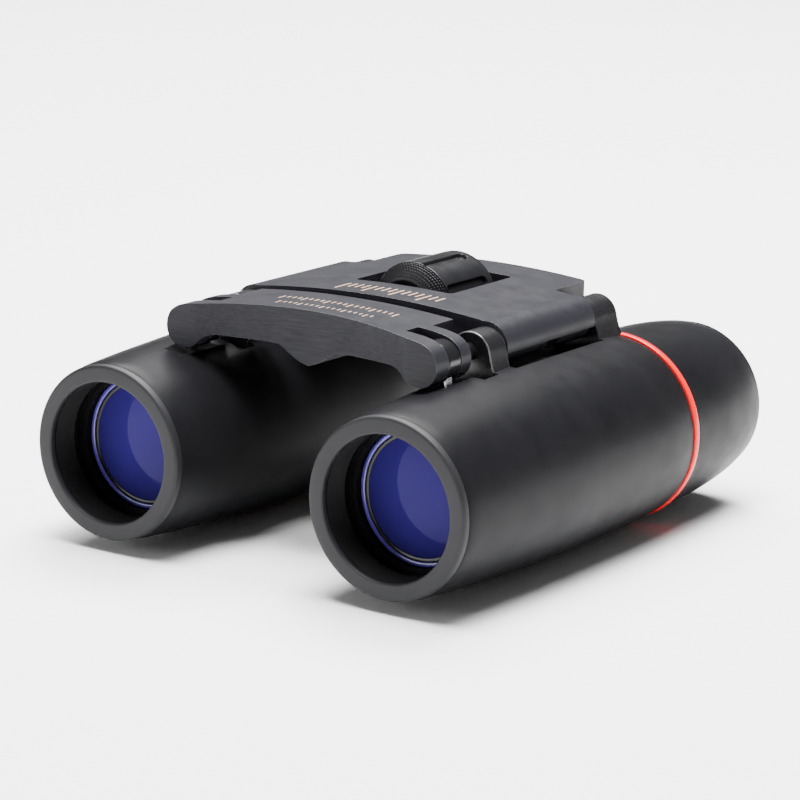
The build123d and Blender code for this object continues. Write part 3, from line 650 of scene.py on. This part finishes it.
def dioptre(material):
    """Dioptre ring with shallow ribs all round."""
    ribs, rib_depth = 36, 0.32
    ribbed = (69.2, 74.7)

    def rib(angle, r, s):
        if r < 15 or not ribbed[0] < s < ribbed[1]:
            return r, s
        return r - rib_depth * (0.5 - 0.5 * cos(ribs * angle)) ** 2, s

    outline = [(12.7, 68.5), (15.2, 68.5), (15.45, 68.7), (15.52, 69.1), (15.52, 69.25), (15.5, 69.6)]
    outline += [(15.5 - 0.1 * k / 8, 69.9 + 4.4 * k / 8) for k in range(9)]
    outline += [(15.38, 74.6), (15.36, 74.85), (15.3, 75.2), (15.05, 75.4), (12.7, 75.4), (12.7, 73.9)]
    outline += [(14.1, 73.9), (14.1, 70.1), (12.7, 70.1)]
    bm = bmesh.new()
    lathe(bm, outline, (BARREL_X, BARREL_Z), rib, 432, RIGHT)
    return new_object("dioptre_grip", bm, material)


def wheel_grip(material):
    """Grip sleeve with long rounded slots sunk into it."""
    mid, half, width, count = 52.5, 5.8, 0.98, 8
    depth, wall_half, first_slot = 0.6, 0.14, radians(16)
    straight, crown_r = (47.0, 59.2), 0.9

    def slots(angle, r, s):
        if r < 7.5:
            return r, s
        pitch = 2 * pi / count
        off = (angle - first_slot + pitch / 2) % pitch - pitch / 2
        beyond = max(abs(s - mid) - (half - width), 0)
        edge = sqrt((off * WHEEL_R) ** 2 + beyond**2) - width
        fall = min(max((wall_half - edge) / (2 * wall_half), 0), 1)
        return r - depth * fall * fall * (3 - 2 * fall), s

    outline = rounded([(WHEEL_SLEEVE_BORE_R, 46.5, 0), (WHEEL_R, 46.5, 0.3), (WHEEL_R, straight[0], 0)])
    outline += [(WHEEL_R, s) for s in spread(*straight, 110)[1:]]
    crown = [radians(90 * k / 10) for k in range(1, 11)]
    outline += [(WHEEL_R - crown_r + crown_r * cos(a), 59.6 + crown_r * sin(a)) for a in crown]
    outline += [(6.6, 60.5), (6.6, 60.1), (WHEEL_SLEEVE_BORE_R, 60.1)]
    bm = bmesh.new()
    lathe(bm, outline, (0, FOCUS_Z), slots, 480)
    return new_object("wheel_grip", bm, material)


def wheel_end(material):
    """Front end of the wheel: a shallow dome of fine knurled rings."""
    rings, depth, rear_s = 6, 2.3, 46.45
    knurls, knurl_depth, knurl_shift = 90, 0.035, 1.9

    def knurl(angle, r, s):
        if r < 5:
            return r, s
        ring = int((rear_s - s) / depth * rings)
        return r + knurl_depth * sin(knurls * angle + knurl_shift * ring), s

    outline = [(ROD_BORE_R, rear_s)]
    for k in range(rings * 8 + 1):
        t = k / (rings * 8)
        envelope = 7.75 - 2.1 * t**1.5
        outline.append((envelope - 0.3 * abs(cos(pi * rings * t)) ** 3, rear_s - depth * t))
    front = rear_s - depth
    outline += [(5.0, front), (4.6, front + 0.25), (2.6, front + 0.25), (2.4, front), (ROD_BORE_R, front)]
    bm = bmesh.new()
    lathe(bm, outline, (0, FOCUS_Z), knurl, 540)
    return new_object("wheel_end", bm, material)


def mirrored(points):
    """Points with X turned over, in the opposite order."""
    return [(-x, z) for x, z in reversed(points)]


def arch_top(half):
    """Points on the arch from one side to the other."""
    return [(x, arch(x)) for x in (-half + 2 * half * k / 60 for k in range(61))]


def rear_outline():
    right = arc(22.8, 35.0, 4.0, 96, -10.08, 22)[1:]
    return arch_top(ARCH_HALF) + right + mirrored(right)


def rear_frame_shell(material, edge_highlight_paint):
    """Rear bridge: arched top, rolled sides, window for the wheel and pocket for the plate."""
    body = extruded("bridge_shell", rear_outline(), 32, 71, material)
    tail_half, tail_end, corner_r = 18.9, 70.6, 1.2
    corner = arc(tail_half - corner_r, tail_end - corner_r, corner_r, 0, 90, 8)
    plan = [(28, 33.6), (28, 60.2), (tail_half, 60.2), *corner, *mirrored(corner),
            (-tail_half, 60.2), (-28, 60.2), (-28, 33.6)]
    combine(body, standing("plan", plan, 30, 45, material), "INTERSECT")
    hole = rounded([(-9.5, 43.3, 1), (9.5, 43.3, 1), (9.5, 62.0, 1), (-9.5, 62.0, 1)], 4)
    combine(body, standing("window", hole, 30, 45, material), "DIFFERENCE")
    for side in (-1, 1):
        under = [(side * 16.5, 60.25), (side * 30, 60.25), (side * 30, 75), (side * 16.5, 75)]
        combine(body, standing("tail_relief", under, 30, 36.7, material), "DIFFERENCE")
    pocket = [(-17.2, 35.1), (17.2, 35.1), (17.2, 67.5), (-17.2, 67.5)]
    recess = standing("plate_recess", pocket, 33, 35.55, material)
    frame_plan = [(-11.0, 41.8), (11.0, 41.8), (11.0, 63.5), (-11.0, 63.5)]
    combine(recess, standing("window_frame", frame_plan, 32, 36.5, material), "DIFFERENCE")
    combine(body, recess, "DIFFERENCE")
    # the rounded edges take the brighter edge paint, a painted highlight
    soften(body, edge_highlight_paint)
    return body


def bearings(material):
    """Bosses round the focus shaft and collars round the hinge rods, seen from below."""
    boss_r, collar_r = 3.4, 3.3
    bm = bmesh.new()
    for start, end, front_round, rear_round in ((33.65, 43.2, 0.3, 0.2), (62.1, 64.8, 0.2, 0.3)):
        boss = [(SHAFT_BORE_R, start, 0), (boss_r, start, front_round)]
        boss += [(boss_r, end, rear_round), (SHAFT_BORE_R, end, 0)]
        lathe(bm, rounded(boss), (0, FOCUS_Z), None, 64)
    for side in (-1, 1):
        for start, end in ((33.65, 46.9), (50.7, 60.15)):
            collar = [(ROD_BORE_R, start, 0), (collar_r, start, 0.2)]
            collar += [(collar_r, end, 0.2), (ROD_BORE_R, end, 0)]
            lathe(bm, rounded(collar), (HINGE_X, HINGE_Z), None, 48, side)
    return new_object("shaft_bearings", bm, material)


def front_profile():
    """Front bridge seen end on: arched top, rounded ears and the boss for the focus screw."""
    half = 21.3
    end = smooth_line([(half, arch(half)), (23.6, 38.55), (25.25, 37.5), (26.0, 36.1), (26.15, 35.0)], 6)[1:]
    low = arc(22.8, 35.0, 3.35, 0, -90, 12)[1:]
    underside = [(22.8, 31.65), (21.5, 31.85), (20.6, 32.4), (19.2, 33.6), (18.1, 34.15), (16.8, 34.4)]
    run = smooth_line(underside, 5)[1:]
    boss = smooth_line([(7.4, 34.35), (5.4, 34.1), (3.9, 33.2), (1.9, 32.0), (0, 31.4)], 7)
    right = end + low + run + boss
    return arch_top(half) + right + mirrored(right[:-1])


def sliding_bridge(material, edge_highlight_paint):
    """Front bridge: hollowed front face, forked ears at both ends."""
    body = extruded("sliding_bridge_shell", front_profile(), 13, 32, material)
    face_half, hollow = 20.2, 2.7
    hollow_r = (face_half**2 + hollow**2) / (2 * hollow)
    across = [face_half - 2 * face_half * k / 48 for k in range(49)]
    face = [(x, 17.1 - hollow_r + sqrt(hollow_r**2 - x**2)) for x in across]
    ears = [(28, 14.4), (28, 17.9), (18.0, 17.9), (18.0, 21.4)]
    ears += [(28, 21.4), (28, 24.1), (18.8, 24.1), (18.8, 30.0)]
    plan = ears + mirrored(ears) + list(reversed(face))
    combine(body, standing("plan", plan, 28, 45, material), "INTERSECT")
    for side in (-1, 1):
        pocket = [(side * 7.4, 19.4), (side * 15.4, 19.4), (side * 15.4, 28.0), (side * 7.4, 28.0)]
        combine(body, standing("pocket", pocket, 30, 38, material), "DIFFERENCE")
    # the rounded edges take the brighter edge paint, a painted highlight
    soften(body, edge_highlight_paint)
    return body


def tick_rows(name, rows, material):
    """Plain printed tick marks lying on the arched tops: (middle, distance, height, pitch, count)."""
    lift, sunk = 0.018, 0.03
    bm = bmesh.new()
    for middle, s, height, pitch, count in rows:
        wide = pitch * 0.14
        for k in range(count):
            x = middle + (k - (count - 1) / 2) * pitch
            tall = height if k % 4 == 0 else height * 0.6
            back = s + height / 2
            corners = [(x - wide, back), (x + wide, back), (x + wide, back - tall), (x - wide, back - tall)]
            low, high = ([bm.verts.new((a * MM, FRONT_Y + b * MM, (arch(a) + rise) * MM)) for a, b in corners]
                         for rise in (-sunk, lift))
            bm.faces.new(low)
            bm.faces.new(high)
            for i in range(4):
                j = (i + 1) % 4
                bm.faces.new((low[i], low[j], high[j], high[i]))
    return new_object(name, bm, material)


# ---- assembly ----
EYECUP_START = {LEFT: 68.42, RIGHT: 75.75}
REAR_MARKS = [(1.4, 37.6, 4.6, 1.32, 15)]
FRONT_MARKS = [(0.7, 24.2, 2.0, 1.1, 21), (0.7, 20.4, 1.6, 1.05, 18)]


def adopt(piece, body, slot, *nodes):
    """Rides a piece on its body, in place of the CAD nodes that it covers."""
    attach(piece, body)
    if nodes:
        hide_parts(*nodes)


def dress():
    """Gives every CAD node that stays in view its material."""
    black, gloss = matte_black(), gloss_black()
    steel = metal("ground_steel", (0.42, 0.42, 0.43), (0.66, 0.66, 0.67), (0.22, 0.36))
    brass = metal("turned_brass", (0.5, 0.36, 0.16), (0.72, 0.54, 0.26), (0.25, 0.4))
    spring = metal("spring_steel", (0.35, 0.35, 0.36), (0.55, 0.55, 0.56), (0.3, 0.42))
    nylon = moulded("nylon", (0.42, 0.42, 0.4), (0.5, 0.5, 0.47), (0.45, 0.55), 3000, 0.00001).mat
    by_slot = {
        "black_metal": black, "black_plastic": black, "gloss_black": gloss, "steel": steel, "brass": brass,
        "spring_steel": spring, "washer_plastic": nylon, "clear_glass": clear_glass(),
    }
    for part in frame["record"]["subparts"]:
        paint = by_slot.get(part["material_slot"])
        if part["node"].startswith("hinge_rod"):
            paint = black
        if paint:
            node = frame["nodes"][part["node"]]
            node.data.materials.clear()
            node.data.materials.append(paint)
    return gloss, black


def dress_barrel(side, paints):
    """Shell, lugs, rim, trim, eyecup and visible glass of one barrel."""
    name = SIDE_NAME[side]
    barrel, objective = name + "_barrel", name + "_objective"
    eye_body = "left_barrel" if side == LEFT else "right_eyepiece"
    rubber, violet, gloss = paints["rubber"], paints["violet"], paints["gloss"]
    adopt(barrel_skin(side, rubber), barrel, "soft_rubber", "barrel_" + name)
    lugs = (("front_lug_", FRONT_FOOT_OUT, FRONT_LUG), ("rear_lug_", REAR_FOOT_OUT, REAR_LUG))
    for lug_name, foot_out, span in lugs:
        piece = lug(lug_name + name, foot_out, span, side, paints["lug"], paints["wear_and_highlight"])
        adopt(piece, barrel, "gloss_black")
    adopt(rim(side, paints["rim"]), barrel, "rim", "rim_ring_" + name)
    adopt(mouth_thread(side, paints["black"]), barrel, "rim")
    trim = [(12.63, 66.95, 0), (15.92, 66.95, 0.3), (15.96, 67.6, 0), (15.9, 68.3, 0.3), (12.63, 68.3, 0)]
    adopt(round_piece("trim_band_" + name, trim, side, paints["red"]), barrel, "red_trim", "trim_ring_" + name)
    adopt(eyecup(side, EYECUP_START[side], rubber), barrel, "soft_rubber", "eyecup_" + name)
    lens = lens_piece("front_glass_" + name, 11.7, 10.0, 11.6, 1.1, 0.9, side, paints["coated"])
    adopt(lens, objective, "coated_glass", "objective_front_lens_" + name)
    bevel = [(10.2, 9.8, 0), (10.25, 9.42, 0.25), (10.93, 9.3, 0.3), (10.93, 9.9, 0)]
    adopt(round_piece("glass_bevel_" + name, bevel, side, violet), objective, "coated_glass")
    # Gloss black ring lying on the lens face: a painted shadow of the retaining ring, a dark band where there
    # is only shade.
    shadow_ring_outline = [(9.5, 9.75, 0), (9.56, 9.5, 0.2), (10.18, 9.36, 0.25), (10.18, 9.8, 0)]
    adopt(round_piece("painted_shadow_ring_" + name, shadow_ring_outline, side, gloss), objective, "gloss_black")
    eye = lens_piece("eye_glass_" + name, 8.7, 79.34, 81.4, -0.6, 0.7, side, paints["coated"])
    adopt(eye, eye_body, "coated_glass", "eye_lens_outer_" + name)


def build():
    gloss, black = dress()
    paints = {
        "gloss": gloss, "black": black, "rubber": soft_touch(), "rim": rim_plastic(), "lug": lug_gloss(),
        # the lug edge paint is partly wear and partly a painted highlight on the rounded edges
        "wear_and_highlight": edge_wear_and_highlight(), "red": red_gloss(), "coated": coated_glass(), "violet": bevel_glass(),
    }
    # edge is the brighter paint of the bridge edges, a painted highlight
    shell, edge, wheel, copper = bridge_plastic(), shell_edge_highlight(), wheel_rubber(), copper_print()
    for side in (LEFT, RIGHT):
        dress_barrel(side, paints)
    adopt(dioptre(black), "dioptre_ring", "black_plastic", "dioptre_ring_right")
    adopt(wheel_grip(wheel), "focus_knob", "wheel_grip", "focus_grip")
    adopt(wheel_end(wheel), "focus_knob", "wheel_grip", "focus_disc")
    adopt(rear_frame_shell(shell, edge), "rear_frame", "bridge_shell", "rear_bridge")
    adopt(bearings(shell), "rear_frame", "bridge_shell")
    adopt(sliding_bridge(shell, edge), "sliding_bridge", "bridge_shell", "front_bridge")
    adopt(tick_rows("rear_marks", REAR_MARKS, copper), "rear_frame", "brass")
    adopt(tick_rows("front_marks", FRONT_MARKS, copper), "sliding_bridge", "brass")


camera()
studio()
build()
